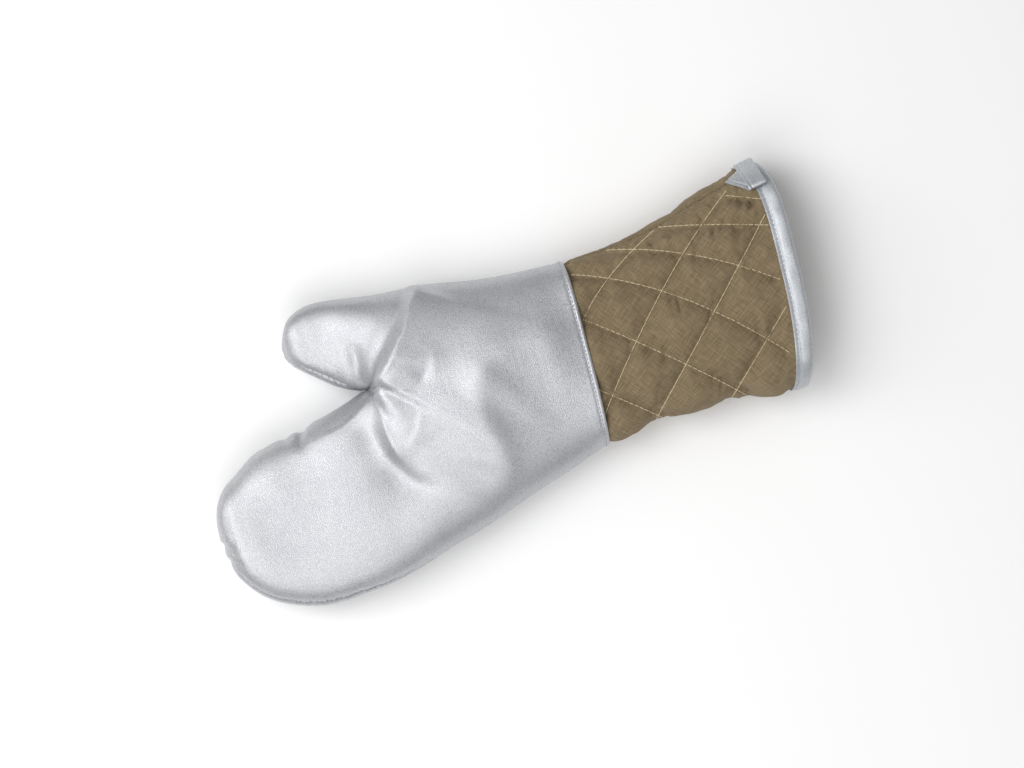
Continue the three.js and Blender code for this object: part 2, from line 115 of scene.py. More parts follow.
cells = {"body": 152, "fingers": 96, "thumb": 56}  # across each side of the glove
wall = {"hand": 4.8, "cover": 1.5, "cuffSink": 1.0, "tongueSink": 1.8, "tape": 1.0}


def smooth(value, low, high):
    t = np.clip((value - low) / (high - low), 0, 1)
    return t * t * (3 - 2 * t)


# Smooth curves through the rows
def hermite(a, b, c, d, t):
    return (
        b * (2 * t**3 - 3 * t**2 + 1)
        + c * (3 * t**2 - 2 * t**3)
        + (c - a) / 2 * (t**3 - 2 * t**2 + t)
        + (d - b) / 2 * (t**3 - t**2)
    )


def trackOf(rows, before):
    track = {}
    for name, values in rows.items():
        first = before.get(name, values[0])
        track[name] = np.concatenate([[first], values, [2 * values[-1] - values[-2]]])
    return track


def rowAt(track, k):
    i = np.clip(np.floor(k).astype(int), 0, len(track["x"]) - 4)
    return {
        name: hermite(values[i], values[i + 1], values[i + 2], values[i + 3], k - i)
        for name, values in track.items()
    }


def mirroredTip(rows):
    # the next row's mirror image closes a rounded tip smoothly
    made = {name: values[1] for name, values in rows.items()}
    made["little"], made["thumb"] = made["thumb"], made["little"]
    for name in ("crown", "under"):
        made[name] = 2 * rows["edge"][0] - rows[name][1]
    return made


def joinedRows(tip, **changes):
    rows = {}
    for name in (*tip, "bow"):
        tipValues = tip.get(name, np.zeros(len(tip["x"])))
        rows[name] = np.concatenate([tipValues, changes.get(name, body[name])])
    return rows


bodyTrack = trackOf(body, {**{n: v[-1] for n, v in fingers.items()}, "thumb": thumb["thumb"][-1]})
level = np.zeros(len(body["x"]))  # seams at the fork lie at the widest points
fingerTrack = trackOf(
    joinedRows(fingers, thumb=body["split"], crown=body["crown"] + shape["fingerCrown"], thumbSeam=level),
    mirroredTip(fingers),
)
thumbTrack = trackOf(
    joinedRows(thumb, little=body["split"], crown=body["crown"] + shape["thumbCrown"], littleSeam=level),
    mirroredTip(thumb),
)


# Points of sections at angles in radians
def sectionPoints(row, angles):
    row = {name: values[:, None] for name, values in row.items()}
    sine, cosine = np.sin(angles), np.cos(angles)
    top = sine > 0
    fullness = shape["topFullness"] + shape["tipFullness"] * smooth(-row["x"], *shape["fullTips"])
    power = np.where(top, 2 / fullness, 2 / shape["underFullness"])
    up = np.abs(sine) ** power
    across = -np.sign(cosine) * np.abs(cosine) ** power
    bowShare = np.where(top, 1 - shape["rimSkew"] * cosine, shape["underBow"])
    x = row["x"] + row["bow"] * np.abs(sine) * bowShare
    y = (row["little"] + row["thumb"]) / 2 + (row["thumb"] - row["little"]) / 2 * across
    high = row["edge"] + (row["crown"] - row["edge"]) * up
    low = row["edge"] - (row["edge"] - row["under"] + shape["underPress"]) * up
    low = np.maximum(low, np.maximum(row["under"], 0))
    return np.stack([x, y, np.where(top, high, low)], axis=-1)


def unit(vectors):
    return vectors / np.maximum(np.linalg.norm(vectors, axis=-1, keepdims=True), 1e-9)


def arcAlong(points, axis=0):
    steps = np.linalg.norm(np.diff(points, axis=axis), axis=-1)
    zeros = np.zeros_like(np.take(steps, [0], axis=axis))
    return np.concatenate([zeros, np.cumsum(steps, axis=axis)], axis=axis)


def pointsAt(wanted, lengths, points):
    return np.stack([np.interp(wanted, lengths, column) for column in points.T], axis=-1)


def evenly(points, count):
    lengths = arcAlong(points)
    return pointsAt(np.linspace(0, lengths[-1], count + 1), lengths, points)


def lobes(row, side):
    # half a section, from the little finger's seam to the thumb's
    start = np.radians(row["littleSeam"])
    end = (np.pi if side == "front" else -np.pi) - np.radians(row["thumbSeam"])
    share = np.linspace(0, 1, netSteps["lobeSamples"] + 1)
    return sectionPoints(row, start[:, None] + (end - start)[:, None] * share)


def evenLobes(row, side, count):
    return np.array([evenly(points, count) for points in lobes(row, side)])


def bodySections(k, side):
    row = rowAt(bodyTrack, k)
    whole = []
    for points, split in zip(lobes(row, side), row["split"]):
        cut = np.argmax(points[:, 1] >= split)
        parts = evenly(points[: cut + 1], cells["fingers"]), evenly(points[cut:], cells["thumb"])
        whole.append(np.concatenate([parts[0], parts[1][1:]]))
    fingerRow = rowAt(fingerTrack, k + len(fingers["x"]))
    thumbRow = rowAt(thumbTrack, k + len(thumb["x"]))
    fingersPart = evenLobes(fingerRow, side, cells["fingers"])
    thumbPart = evenLobes(thumbRow, side, cells["thumb"])
    parted = np.concatenate([fingersPart, thumbPart[:, 1:]], axis=1)
    # the fork closes quickly at its own point and slowly far from it
    fromFork = [np.linspace(1, 0, cells["fingers"] + 1), np.linspace(0, 1, cells["thumb"] + 1)[1:]]
    reach = shape["forkReach"] + shape["forkSpread"] * np.concatenate(fromFork)
    past = np.maximum(row["x"] - body["x"][0], 0)[:, None]
    merged = 1 - np.exp(-((past / reach) ** shape["forkSharp"]))
    return parted + (np.array(whole) - parted) * merged[:, :, None]


def placesAt(x):
    fine = np.linspace(0, len(body["x"]) - 1, 4000)
    return np.interp(x, rowAt(bodyTrack, fine)["x"], fine)


# The glove's cloth as one net, with front and back sharing the points of their seams
def runOf(start, end, step):
    return np.linspace(start, end, max(int(round((end - start) / step)), 1) + 1)


stations = np.unique(
    np.concatenate(
        [
            np.linspace(body["x"][0], shape["hemStart"], netSteps["handRows"]),
            runOf(shape["hemStart"], shape["hemEnd"], netSteps["hemStep"]),
            [shape["hemEnd"] + netSteps["hemGap"]],
            runOf(shape["hemEnd"] + 2 * netSteps["hemGap"], shape["bindingStart"], netSteps["cuffStep"]),
            runOf(shape["bindingStart"], shape["rim"], netSteps["bindingStep"]),
        ]
    ).round(3)
)


def tipPlaces(rows):
    places = [[0.0]]
    for i, gap in enumerate(np.diff(rows["x"])):
        least = netSteps["tipRowsLeast"] if i else netSteps["tipRowsAtEnd"]
        steps = max(int(gap / netSteps["tipStep"]), least)
        places.append(i + np.arange(1, steps + 1) / steps)
    last = len(rows["x"]) - 1
    steps = int(netSteps["forkRun"] / netSteps["tipStep"])
    places.append(last + np.arange(1, steps + 1) / steps)
    return np.concatenate(places)


def tipGrid(track, rows, count, side):
    # runs from the tip to the fork, whose section belongs to the body's grid
    return evenLobes(rowAt(track, tipPlaces(rows)[:-1]), side, count)


grids = {}
for side in bothSides:
    grids["body", side] = bodySections(placesAt(stations), side)
    grids["fingers", side] = tipGrid(fingerTrack, fingers, cells["fingers"], side)
    grids["thumb", side] = tipGrid(thumbTrack, thumb, cells["thumb"], side)

ids = {}
netPoints = []
netStations = []


def addPoints(points, station):
    first = len(netPoints)
    netPoints.extend(points)
    netStations.extend([station] * len(points))
    return np.arange(first, first + len(points))


def addGrid(name, gridStations):
    front, back = grids[name, "front"], grids[name, "back"]
    frontIds, backIds = [], []
    for i in range(len(front)):
        if name != "body" and i == 0:
            tip = np.repeat(addPoints(front[i][:1], gridStations[i]), front.shape[1])
            frontIds.append(tip)
            backIds.append(tip)
            continue
        row = addPoints(front[i], gridStations[i])
        under = row.copy()
        under[1:-1] = addPoints(back[i][1:-1], gridStations[i])
        frontIds.append(row)
        backIds.append(under)
    ids[name, "front"] = np.array(frontIds)
    ids[name, "back"] = np.array(backIds)


addGrid("body", stations)
# front and back meet at the fork's own point
ids["body", "back"][0][cells["fingers"]] = ids["body", "front"][0][cells["fingers"]]
for name, start, end in (("fingers", 0, cells["fingers"]), ("thumb", cells["fingers"], cells["body"])):
    addGrid(name, np.full(len(grids[name, "front"]), body["x"][0]))
    for side in bothSides:
        fork = ids["body", side][:1, start : end + 1]
        ids[name, side] = np.concatenate([ids[name, side], fork])
netPoints = np.array(netPoints)
netStations = np.array(netStations)


def quadsOf(grid, side):
    a, b = grid[:-1, :-1], grid[1:, :-1]
    c, d = grid[1:, 1:], grid[:-1, 1:]
    quads = np.stack([a, b, c, d], axis=-1).reshape(-1, 4)
    return quads if side == "front" else quads[:, ::-1]


netQuads = {side: np.concatenate([quadsOf(ids[name, side], side) for name in cells]) for side in bothSides}


def outwardsOf(points):
    normals = np.zeros_like(points)
    for quads in netQuads.values():
        a, b, c, d = (points[quads[:, n]] for n in range(4))
        face = np.cross(c - a, d - b)
        for n in range(4):
            np.add.at(normals, quads[:, n], face)
    return unit(normals)


outwards = outwardsOf(netPoints)
print("glove: cloth net of", len(netPoints), "points")


# Puckers that the seams draw in, by lengths along and across the cloth
def gathers(seed, length, spacing, depth, width):
    # places, depths and widths of the small puckers that a seam draws in
    rng = np.random.default_rng(seed)
    places = np.arange(-length, length, spacing)
    places = places + rng.uniform(-0.35, 0.35, len(places)) * spacing
    return places, depth * rng.uniform(0.25, 1, len(places)), width * rng.uniform(0.7, 1.4, len(places))


def gatherDepth(along, away, pucker, reach):
    places, depths, widths = pucker
    flat = along.ravel()
    near = np.searchsorted(places, flat)
    total = np.zeros(len(flat))
    for offset in (-2, -1, 0, 1):
        n = np.clip(near + offset, 0, len(places) - 1)
        total += depths[n] * np.exp(-(((flat - places[n]) / widths[n]) ** 2))
    return total.reshape(along.shape) * np.exp(-away / reach)


seams = {
    "farthest": 100.0,
    "groove": 3.0,
    "grooveReach": 1.7,
    "handGathers": {"length": 330, "spacing": 6.0, "depth": 2.2, "width": 1.5},
    "handReach": 3.6,
    "thumbGathers": {"length": 120, "spacing": 4.2, "depth": 1.3, "width": 1.1},
    "cuffReach": 6.0,
    "cuffShare": 0.5,
}
littlePucker = gathers(3, **seams["handGathers"])
outerPucker = gathers(5, **seams["handGathers"])
forkPucker = gathers(8, **seams["thumbGathers"])

lift = np.zeros(len(netPoints))
shares = np.zeros(len(netPoints))
seamAway = np.full(len(netPoints), seams["farthest"])
clothU = {}
clothV = {}
for (name, side), grid in ids.items():
    points = netPoints[grid]
    across = arcAlong(points, 1)
    along = arcAlong(points, 0)
    toFar = across[:, -1:] - across
    isBody = name == "body"
    fromFork = along if isBody else along - along[-1]
    near = littlePucker if name != "thumb" else forkPucker
    far = outerPucker if name != "fingers" else forkPucker
    nearAlong = np.repeat(fromFork[:, :1] * (-1 if name == "thumb" else 1), grid.shape[1], axis=1)
    farAlong = np.repeat(fromFork[:, -1:], grid.shape[1], axis=1)
    isCuff = netStations[grid] > shape["hemEnd"]
    reach = np.where(isCuff, seams["cuffReach"], seams["handReach"])
    sunk = gatherDepth(nearAlong, across, near, reach) + gatherDepth(farAlong, toFar, far, reach)
    sunk *= np.where(isCuff, seams["cuffShare"], 1)
    for off in (across, toFar):
        sunk += seams["groove"] * np.exp(-off / seams["grooveReach"])
    np.add.at(lift, grid.ravel(), -sunk.ravel())
    np.add.at(shares, grid.ravel(), 1)
    np.minimum.at(seamAway, grid.ravel(), np.minimum(across, toFar).ravel())
    middle = cells["fingers"] // 2 if isBody else across.shape[1] // 2
    clothU[name, side] = across - across[:, [middle]]
    clothV[name, side] = points[..., 0]
lift /= np.maximum(shares, 1)


# Folds of the front, each along a smooth line through plan points. One with height above 0
# is a ridge and one below 0 a crease. left and right are its reach to each side of the line,
# sharp makes a cusp (1) or a soft roll (2), fadeIn and fadeOut are shares of its length, and
# soften is how many rounds of averaging smooth it. With steep above 0, the left side falls
# to the cloth over that width.
foldColumns = "height left right sharp fadeIn fadeOut soften steep".split()
foldRows = {
    "sharp ridge of the thumb": (
        (4.6, 7, 24, 1, 0.08, 0.1, 0, 8.5),
        [(-79.5, 24.5), (-71, 34), (-65, 41), (-58.5, 49.5), (-53, 56), (-46.5, 66.5), (-41.5, 73.5), (-36, 82.5)],
    ),
    "broad ridge of the thumb": (
        (1.2, 9, 6, 1.6, 0.15, 0.2, 3, 0),
        [(-87, 29), (-82, 39.5), (-75.5, 52), (-67, 62.5), (-58, 72), (-49, 80.5)],
    ),
    "crease over the thumb's root": (
        (-2.6, 4, 4, 1.5, 0.1, 0.45, 4, 0),
        [(-89, 26), (-90, 34), (-89.5, 42), (-88.5, 51), (-87, 61.5)],
    ),
    "crease into the palm": (
        (-2, 10, 10, 1.1, 0.06, 0.3, 1, 0),
        [
            (-85.5, 25), (-80.5, 23.5), (-73, 21), (-64.5, 19.5), (-57.5, 19), (-52, 21.5), (-47.5, 26),
            (-44.5, 31), (-42.5, 37),
        ],
    ),
    "short ridge beside it": (
        (0.4, 3.2, 5, 1.3, 0.4, 0.35, 1, 0),
        [(-45, 17.5), (-42, 26.5), (-39.5, 33.5), (-36.5, 42.5)],
    ),
    "ridge down from the fork": (
        (4, 16, 12, 1, 0.3, 0.08, 0, 0),
        [(-73.5, -30.5), (-76, -26), (-78.5, -19), (-80, -10.5), (-81, 0.5), (-81, 10.5), (-83, 18), (-85.5, 22.5)],
    ),
    "ridge closing the pocket": (
        (0.5, 4, 14, 1, 0.3, 0.5, 1, 2.2),
        [(-75.5, -24), (-69.5, -18), (-63.5, -11.5), (-58.5, -3), (-54.5, 7), (-53, 14.5)],
    ),
    "wide valley under the knuckles": (
        (-2.9, 7, 12, 1.8, 0.25, 0.35, 2, 0),
        [
            (-90, 17.5), (-91, 8.5), (-91.5, -2), (-88, -15), (-83, -27), (-76, -38), (-66, -45.5),
            (-54, -50), (-43.5, -50),
        ],
    ),
    "edge of the palm": (
        (3.8, 12, 32, 1.4, 0.3, 0.3, 24, 0),
        [
            (-4.5, 25.5), (-10, 20.5), (-14.5, 13.5), (-18, 3), (-18, -10.5), (-14.5, -24), (-12, -37),
            (-12, -46.5), (-17.5, -54), (-28.5, -60),
        ],
    ),
    "highlight of the wrist": (
        (4.6, 17, 28, 1.6, 0.25, 0.35, 8, 0),
        [(-28, 2.5), (-15.5, 14), (-2, 23.5), (15, 28.5), (37, 29.5), (65, 28)],
    ),
    "pucker of the fingers": (
        (-3.8, 3.2, 3.2, 1.4, 0.05, 0.6, 1, 0),
        [(-127.5, 25.5), (-132.5, 17), (-136.5, 9.5), (-139.5, -5.5)],
    ),
    "second pucker": ((-3, 3.2, 3.2, 1.5, 0.05, 0.6, 1, 0), [(-144, 22), (-147, 13.5), (-146.5, 0.5)]),
    "third pucker": ((-2.4, 3.2, 3.2, 1.5, 0.05, 0.6, 1, 0), [(-159.5, 20), (-162, 13.5), (-164, 2.5)]),
    "dent of the fingertip": ((-1.6, 3, 3, 1.6, 0.1, 0.6, 1, 0), [(-206.5, -47.5), (-200, -52), (-195, -62.5)]),
    "dent below it": ((-1.5, 3, 3, 1.6, 0.1, 0.6, 1, 0), [(-207.5, -58.5), (-199, -62), (-191, -68.5)]),
}


def planCurve(start, via, end, steps=24):
    t = np.linspace(0, 1, steps + 1)[:, None]
    start, via, end = (np.array(point, float) for point in (start, via, end))
    control = 2 * via - (start + end) / 2
    return (1 - t) ** 2 * start + 2 * t * (1 - t) * control + t**2 * end


def smoothLine(points, steps=10):
    points = np.array(points, float)
    rows = np.concatenate([[2 * points[0] - points[1]], points, [2 * points[-1] - points[-2]]])
    t = np.linspace(0, 1, steps, endpoint=False)[:, None]
    parts = [hermite(*rows[i : i + 4], t) for i in range(len(points) - 1)]
    return np.concatenate(parts + [points[-1:]])


def nearestOn(curve, places):
    # distance from a plan curve, its side from left (-1) to right (1), and how far along
    best = np.full(len(places), np.inf)
    side = np.zeros(len(places))
    share = np.zeros(len(places))
    lengths = arcAlong(curve)
    for i, (start, end) in enumerate(zip(curve[:-1], curve[1:])):
        run = end - start
        length = np.linalg.norm(run)
        t = np.clip((places - start) @ run / length**2, 0, 1)
        off = places - start - t[:, None] * run
        away = np.hypot(off[:, 0], off[:, 1])
        leftward = (run[0] * off[:, 1] - run[1] * off[:, 0]) / length
        closer = away < best
        best = np.where(closer, away, best)
        side = np.where(closer, -leftward / np.maximum(away, 0.01), side)
        share = np.where(closer, (lengths[i] + t * length) / lengths[-1], share)
    return best, side, share


netEdges = np.concatenate([quads[:, [n, (n + 1) % 4]] for quads in netQuads.values() for n in range(4)])
netEdges = netEdges[netEdges[:, 0] != netEdges[:, 1]]
edgeCounts = np.bincount(netEdges.ravel(), minlength=len(netPoints))


def softened(values, rounds):
    for _ in range(rounds):
        sums = np.bincount(netEdges[:, 0], values[netEdges[:, 1]], len(values))
        sums += np.bincount(netEdges[:, 1], values[netEdges[:, 0]], len(values))
        values = (values + sums / np.maximum(edgeCounts, 1)) / 2
    return values


crestRound = 0.9  # mm over which a steep fold's crest is rounded
foldsFade = (3, 17)  # heights over which the folds fade in
onHand = np.flatnonzero((netStations <= shape["hemEnd"]) & (netPoints[:, 2] > foldsFade[0]))
plan = netPoints[onHand, :2]
topShare = smooth(netPoints[onHand, 2], *foldsFade)
for row, line in foldRows.values():
    fold = dict(zip(foldColumns, row))
    away, side, share = nearestOn(smoothLine(line), plan)
    taper = smooth(share, 0, fold["fadeIn"]) * smooth(1 - share, 0, fold["fadeOut"])
    reach = fold["left"] + (fold["right"] - fold["left"]) * (side + 1) / 2
    if fold["steep"]:
        reach = fold["right"]
    rise = np.exp(-((away / reach) ** fold["sharp"]))
    if fold["steep"]:
        fall = 1 - np.clip((np.hypot(away, crestRound) - crestRound) / fold["steep"], 0, 1)
        rise = np.where(side < 0, fall**1.5, rise)
    made = np.zeros(len(netPoints))
    made[onHand] = fold["height"] * rise * taper * topShare
    lift += softened(made, fold["soften"])


# Soft unevenness: a few waves across the cloth, seeded
def waves(points, seed, count, length):
    rng = np.random.default_rng(seed)
    total = np.zeros(len(points))
    for _ in range(count):
        angle = math.radians(rng.uniform(-180, 180))
        size = 2 * math.pi / (length * rng.uniform(0.7, 1.5))
        across = math.cos(angle) * points[:, 0] + math.sin(angle) * points[:, 1]
        total += np.sin(size * (across + 0.3 * points[:, 2]) + rng.uniform(0, 2 * math.pi))
    return total / math.sqrt(count)


uneven = {"height": 0.2, "waves": (11, 9, 48)}
lift += uneven["height"] * waves(netPoints, *uneven["waves"])

# Quilting of the cuff, seen from above on the front, and a plain lattice on the back
quilt = {
    "depth": 4.8, "reach": 3.8, "puff": 2.4, "puffReach": 9, "sharp": 0.9, "threadReach": 1.5, "slant": 0.35,
    "uneven": 0.4, "waves": (23, 9, 15), "heldAtSeams": 0.15, "bindingPress": 0.9,
    "gathers": {"length": 260, "spacing": 7.5, "depth": 1.3, "width": 1.5},
    "gathersReach": 5.5,
    "pitch": 37.7, "steepAngle": 47, "flatAngle": -40, "backCentre": (120, 30), "backOffset": 0.35,
    "backReach": 150,
    "seamFade": {"front": (0, 18), "back": (6, 38)},
    "bindingFade": (shape["bindingStart"] - 7, shape["bindingStart"] - 1),
}
steepLines = [
    ((59.5, 32), (85.5, 56.7), (123, 78.5)),
    ((55.5, -33.5), (114, 38), (172.5, 90.5)),
    ((87.5, -43.5), (142.5, 15.5), (193, 70.5)),
    ((138.5, -42.5), (164.5, -16.8), (190, 8.8)),
]
flatLines = [
    ((169, 86.5), (181, 82), (193, 77)),
    ((122, 78), (157, 70.3), (193, 59.8)),
    ((85, 72.5), (138, 55.2), (191, 23.2)),
    ((59.5, 63), (121.5, 32.2), (184, -23.6)),
    ((60.5, 32.5), (106, -3.5), (151, -43)),
    ((57, -13), (75.5, -27.5), (94, -42)),
]
frontLines = [planCurve(*line) for line in steepLines + flatLines]


def latticeLines():
    # straight lines over the whole underside, a pitch apart each way
    made = []
    for angle in (quilt["steepAngle"], quilt["flatAngle"]):
        run = np.array([math.cos(math.radians(angle)), math.sin(math.radians(angle))])
        side = np.array([-run[1], run[0]])
        for n in range(-4, 5):
            through = quilt["backCentre"] + side * quilt["pitch"] * (n + quilt["backOffset"])
            made.append(through + run * np.linspace(-quilt["backReach"], quilt["backReach"], 61)[:, None])
    return made


backLines = latticeLines()


def quiltLift(points, lines):
    away = np.full(len(points), np.inf)
    gathered = np.zeros(len(points))
    for n, line in enumerate(lines):
        off, side, share = nearestOn(line, points[:, :2])
        away = np.minimum(away, off)
        along = share * arcAlong(line)[-1] + quilt["slant"] * off * side
        pucker = gathers(40 + n, **quilt["gathers"])
        gathered += gatherDepth(along, off, pucker, quilt["gathersReach"])
    sunk = quilt["depth"] * np.exp(-((away / quilt["reach"]) ** quilt["sharp"]))
    puffed = quilt["puff"] * (1 - np.exp(-((away / quilt["puffReach"]) ** 2)))
    onLine = np.exp(-((away / quilt["threadReach"]) ** 2))
    return puffed - sunk - gathered * (1 - onLine)


onCuff = {side: np.unique(ids["body", side][stations > shape["hemEnd"]]) for side in bothSides}
for side, lines in (("front", frontLines), ("back", backLines)):
    # the back leaves the seams' points to the front
    sideIds = onCuff[side]
    if side == "back":
        sideIds = np.setdiff1d(sideIds, ids["body", side][:, [0, -1]])
    held = quilt["heldAtSeams"]
    held = held + (1 - held) * smooth(seamAway[sideIds], *quilt["seamFade"][side])
    held *= 1 - quilt["bindingPress"] * smooth(netStations[sideIds], *quilt["bindingFade"])
    lift[sideIds] += quiltLift(netPoints[sideIds], lines) * held
    lift[sideIds] += quilt["uneven"] * waves(netPoints[sideIds], *quilt["waves"]) * held

# Short wrinkles that the flat rows of quilting draw in on the front
wrinkles = {
    "seed": 17, "count": 60, "length": 7.5, "width": 1.4, "depth": 2.3, "turn": 72, "spread": 22, "offLine": 6,
}
rng = np.random.default_rng(wrinkles["seed"])
places = netPoints[onCuff["front"], :2]
inward = 1 - smooth(netStations[onCuff["front"]], *quilt["bindingFade"])
for _ in range(wrinkles["count"]):
    line = frontLines[len(steepLines) + rng.integers(len(flatLines))]
    centre = line[rng.integers(len(line))] + rng.uniform(-1, 1, 2) * wrinkles["offLine"]
    turn = math.radians(wrinkles["turn"] + rng.uniform(-1, 1) * wrinkles["spread"])
    run = np.array([math.cos(turn), math.sin(turn)])
    along = (places - centre) @ run / (wrinkles["length"] * rng.uniform(0.6, 1.3))
    across = (places - centre) @ (-run[1], run[0]) / (wrinkles["width"] * rng.uniform(0.7, 1.4))
    deep = wrinkles["depth"] * rng.uniform(0.3, 1)
    lift[onCuff["front"]] -= deep * inward * np.exp(-(along**2) - across**2)
print("glove: folds, gathers and quilting set")


# Meshes
def addObject(name, data):
    made = bpy.data.objects.new(name, data)
    bpy.context.scene.collection.objects.link(made)
    return made


def meshObject(name, points, faces, smoothAngle=50):
    mesh = bpy.data.meshes.new(name)
    mesh.from_pydata((points * metre).tolist(), [], faces)
    mesh.update()
    mesh.shade_smooth()
    mesh.set_sharp_from_angle(angle=math.radians(smoothAngle))
    return addObject(name, mesh)


# The tables' frame is set on the CAD's by the fingertip and by the little finger's side
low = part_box("hand_front_panel")[0] / metre
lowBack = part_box("hand_back_panel")[0] / metre
handIds = netStations <= shape["hemEnd"]
shift = np.array([low.x - netPoints[handIds, 0].min(), lowBack.y - netPoints[handIds, 1].min(), 0])
hair = 0.001  # closer stations than this are one
resting = {"panel": 0.05, "tape": 0.02}  # mm that cloth keeps above the floor

# The cloth's own flat measure, for its weave, with the back's a metre further on
cloth = np.zeros((len(netPoints), 2))
for (name, side), grid in ids.items():
    offset = 1000 if side == "back" else 0
    cloth[grid.ravel(), 0] = clothU[name, side].ravel()
    cloth[grid.ravel(), 1] = clothV[name, side].ravel() + offset


def panelPiece(name, side, start, end, outerDepth, innerDepth):
    quads = netQuads[side]
    far = netStations[quads].max(axis=1)
    near = netStations[quads].min(axis=1)
    quads = quads[(far <= end + hair) & (near >= start - hair)]
    used, local = np.unique(quads, return_inverse=True)
    local = local.reshape(quads.shape)
    station = netStations[used]
    outer = netPoints[used] + outwards[used] * (lift[used] - outerDepth(station))[:, None]
    outer[:, 2] = np.maximum(outer[:, 2], resting["panel"])
    inner = netPoints[used] - outwards[used] * innerDepth(station)[:, None]
    count = len(used)
    edges = np.concatenate([local[:, [n, (n + 1) % 4]] for n in range(4)])
    edges = edges[edges[:, 0] != edges[:, 1]]
    keys = edges[:, 0] * count + edges[:, 1]
    back = edges[:, 1] * count + edges[:, 0]
    rim = edges[~np.isin(keys, back)]
    faces = [list(dict.fromkeys(quad)) for quad in local.tolist()]
    faces += [[n + count for n in reversed(face)] for face in faces]
    faces += [[b, a, a + count, b + count] for a, b in rim.tolist()]
    piece = meshObject(name, np.concatenate([outer, inner]) + shift, faces)
    corners = np.zeros(len(piece.data.loops), int)
    piece.data.loops.foreach_get("vertex_index", corners)
    flat = cloth[used][corners % count] * metre
    piece.data.uv_layers.new(name="clothMetres").data.foreach_set("uv", flat.ravel())
    return piece


hem = {
    "turnDown": 0.5, "turnWide": 0.9, "stitchIn": 2.8, "stitchWide": 0.8, "stitchSink": 0.45,
    "roll": 0.25, "rollIn": 1.3, "rollWide": 1.1, "coverFrom": 0.4, "tongueFrom": 0.7, "tongueTo": 0.2,
    "shadowDip": 2.2, "shadowReach": 2.6, "innerGap": 1.0, "tapeGap": 0.6,
}


def handOuter(station):
    # the hem has a sunk row of stitches and a roll, and its edge turns down onto the cuff
    past = station - shape["hemEnd"]
    edge = hem["turnDown"] * smooth(past, -hem["turnWide"], 0)
    line = hem["stitchSink"] * np.exp(-(((past + hem["stitchIn"]) / hem["stitchWide"]) ** 2))
    return edge + line - hem["roll"] * np.exp(-(((past + hem["rollIn"]) / hem["rollWide"]) ** 2))


def handInner(station):
    return np.where(station > shape["hemStart"] + hem["coverFrom"], wall["cover"], wall["hand"])


def cuffOuter(station):
    # the cotton dips beside the hem's edge, which casts a thin shadow on it
    past = station - shape["hemEnd"]
    beside = hem["shadowDip"] * np.exp(-np.maximum(past, 0) / hem["shadowReach"])
    return np.where(past < hem["tongueTo"], wall["tongueSink"], wall["cuffSink"] + beside)


def cuffInner(station):
    return np.full(len(station), wall["hand"] + hem["innerGap"])


handRun = (body["x"][0], shape["hemEnd"], handOuter, handInner)
cuffEnd = shape["rim"] - wall["tape"] - hem["tapeGap"]
cuffRun = (shape["hemStart"] + hem["tongueFrom"], cuffEnd, cuffOuter, cuffInner)
pieces = {
    f"{name}_{side}": panelPiece(f"{name}_{side}", side, *run)
    for name, run in (("hand", handRun), ("cuff", cuffRun))
    for side in bothSides
}
print("glove: four padded panels made")


# The tape folded over the rim
def tubeFaces(rings, size, closed=False):
    # quads between rings of points, with caps where the tube isn't closed to a ring itself
    made = []
    for i in range(rings if closed else rings - 1):
        low, high = i * size, (i + 1) % rings * size
        made += [[low + j, high + j, high + (j + 1) % size, low + (j + 1) % size] for j in range(size)]
    if not closed:
        made += [list(range(size)), list(reversed(range((rings - 1) * size, rings * size)))]
    return made


binding = {
    "lap": 0.3, "innerGap": 1.3, "puff": 0.9, "outerPuff": 0.5, "innerPuff": 0.3, "swellSharp": 0.7,
    "stitchIn": 2.4, "stitchWidth": 0.9, "stitchSink": 0.5, "turnRows": 7, "turnStep": 0.7, "turnBulge": 1.2,
    "wrinkle": 0.15, "waves": (31, 8, 16), "wrinkledAbove": 12,
}


def bindingPiece():
    inside = wall["cuffSink"] + wall["hand"]
    width = shape["rim"] - shape["bindingStart"] - binding["stitchIn"]
    past = stations - shape["bindingStart"] - binding["stitchIn"]
    sunk = binding["stitchSink"] * np.exp(-((past / binding["stitchWidth"]) ** 2))
    swell = binding["puff"] * np.sin(np.pi * np.clip(past / width, 0, 1)) ** binding["swellSharp"]
    on = range(int(np.searchsorted(stations, shape["bindingStart"] - hair)), len(stations))
    # rings of the tape, each at a station, a depth under the cloth and a step past the rim
    rows = [(i, sunk[i] - binding["lap"] - binding["outerPuff"] * swell[i], 0) for i in on]
    for angle in np.radians(np.linspace(0, 180, binding["turnRows"] + 2)[1:-1]):
        depth = inside / 2 + binding["turnStep"] - (inside / 2 + wall["tape"]) * math.cos(angle)
        rows.append((on[-1], depth, binding["turnBulge"] * math.sin(angle)))
    rows += [(i, inside + binding["innerGap"] + binding["innerPuff"] * swell[i], 0) for i in reversed(on)]
    rows += [(i, inside + binding["lap"], 0) for i in on[:-2]]
    rows += [(i, wall["cuffSink"] - binding["lap"], 0) for i in reversed(on[:-2])]
    rings = []
    for i, depth, ahead in rows:
        around = np.concatenate([ids["body", "front"][i], ids["body", "back"][i][1:-1][::-1]])
        rings.append(netPoints[around] - outwards[around] * depth + (ahead, 0, 0))
    points = np.concatenate(rings)
    points[:, 2] = np.maximum(points[:, 2], resting["tape"])
    wavy = waves(points, *binding["waves"]) * binding["wrinkle"]
    points[:, 2] += np.where(points[:, 2] > binding["wrinkledAbove"], wavy, 0)
    return meshObject("binding_tape", points + shift, tubeFaces(len(rings), len(rings[0]), closed=True))


pieces["binding_tape"] = bindingPiece()

